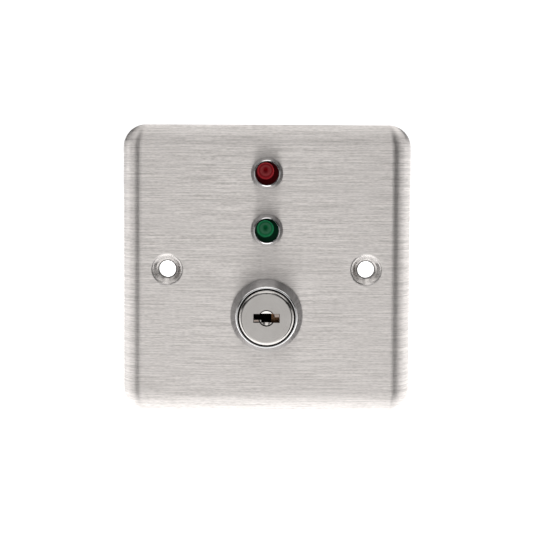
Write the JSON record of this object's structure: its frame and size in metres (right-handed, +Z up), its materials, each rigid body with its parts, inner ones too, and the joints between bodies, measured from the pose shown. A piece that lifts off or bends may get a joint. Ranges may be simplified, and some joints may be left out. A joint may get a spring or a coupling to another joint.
{
  "type": "selector key switch",
  "caption": "Brushed steel wall plate with a chrome key-operated selector switch below red and green panel indicators, wired from behind.",
  "frame": {"origin": "centre of the plate, in the wall plane that its rim rests on", "axes": "+X to the right seen from the front, +Z up, +Y into the wall; the polished front faces -Y"},
  "size_m": [0.088, 0.0428, 0.088],
  "materials": {
    "plate_steel": "horizontally brushed stainless steel",
    "bright_chrome": "polished chrome plate",
    "satin_nickel": "satin nickel plate",
    "wafer_brass": "stamped brass",
    "spring_steel": "bright spring steel",
    "plated_steel": "nickel plated steel",
    "contact_metal": "silver plated brass",
    "tinned_copper": "tinned copper",
    "red_lens": "translucent red polycarbonate",
    "green_lens": "translucent green polycarbonate",
    "red_epoxy": "tinted epoxy",
    "green_epoxy": "tinted epoxy",
    "black_plastic": "moulded black nylon",
    "rotor_plastic": "moulded natural acetal",
    "resistor_paint": "lacquered beige"
  },
  "bodies": {
    "plate_unit": {"face_plate": "plate_steel", "red_indicator_housing": "bright_chrome", "red_lens": "red_lens", "red_led": "red_epoxy", "red_led_holder": "black_plastic", "red_led_legs": "tinned_copper", "red_resistor": "resistor_paint", "red_end_plug": "black_plastic", "red_solder_lugs": "contact_metal", "red_lock_washer": "plated_steel", "red_hex_nut": "plated_steel", "green_indicator_housing": "bright_chrome", "green_lens": "green_lens", "green_led": "green_epoxy", "green_led_holder": "black_plastic", "green_led_legs": "tinned_copper", "green_resistor": "resistor_paint", "green_end_plug": "black_plastic", "green_solder_lugs": "contact_metal", "green_lock_washer": "plated_steel", "green_hex_nut": "plated_steel", "lock_barrel": "bright_chrome", "lock_washer": "plated_steel", "lock_nut": "plated_steel", "switch_case": "black_plastic", "terminal_base": "black_plastic", "terminal_top": "contact_metal", "terminal_right": "contact_metal", "terminal_bottom": "contact_metal", "terminal_left": "contact_metal", "switch_screws": "plated_steel"},
    "key_rotor": {"lock_plug": "satin_nickel", "plug_clip": "spring_steel", "switch_rotor": "rotor_plastic", "contact_bridge": "contact_metal", "contact_spring": "spring_steel", "detent_spring": "spring_steel", "wafer_springs": "spring_steel"},
    "wafer_1_body": {"wafer_1": "wafer_brass"},
    "wafer_2_body": {"wafer_2": "wafer_brass"},
    "wafer_3_body": {"wafer_3": "wafer_brass"},
    "wafer_4_body": {"wafer_4": "wafer_brass"},
    "wafer_5_body": {"wafer_5": "wafer_brass"},
    "detent_ball_body": {"detent_ball": "spring_steel"}
  },
  "joints": [
    {"name": "key_turn", "type": "hinge", "parent": "plate_unit", "child": "key_rotor", "pos_m": [0, 0, -0.0138], "axis": [0, 1, 0], "range_deg": [0, 90]},
    {"name": "wafer_1_slide", "type": "slide", "parent": "key_rotor", "child": "wafer_1_body", "axis": [-1, 0, 0], "range_m": [0, 0.0008], "stiffness_N_per_m": 60, "springref_m": 0.0015, "deforming": ["wafer_springs"]},
    {"name": "wafer_2_slide", "type": "slide", "parent": "key_rotor", "child": "wafer_2_body", "axis": [1, 0, 0], "range_m": [0, 0.0008], "stiffness_N_per_m": 60, "springref_m": 0.0015, "deforming": ["wafer_springs"]},
    {"name": "wafer_3_slide", "type": "slide", "parent": "key_rotor", "child": "wafer_3_body", "axis": [-1, 0, 0], "range_m": [0, 0.0008], "stiffness_N_per_m": 60, "springref_m": 0.0015, "deforming": ["wafer_springs"]},
    {"name": "wafer_4_slide", "type": "slide", "parent": "key_rotor", "child": "wafer_4_body", "axis": [1, 0, 0], "range_m": [0, 0.0008], "stiffness_N_per_m": 60, "springref_m": 0.0015, "deforming": ["wafer_springs"]},
    {"name": "wafer_5_slide", "type": "slide", "parent": "key_rotor", "child": "wafer_5_body", "axis": [-1, 0, 0], "range_m": [0, 0.0008], "stiffness_N_per_m": 60, "springref_m": 0.0015, "deforming": ["wafer_springs"]},
    {"name": "detent_ball_slide", "type": "slide", "parent": "key_rotor", "child": "detent_ball_body", "axis": [0, -1, 0], "range_m": [0, 0.0006], "stiffness_N_per_m": 60, "springref_m": 0.0012, "deforming": ["detent_spring"]}
  ]
}
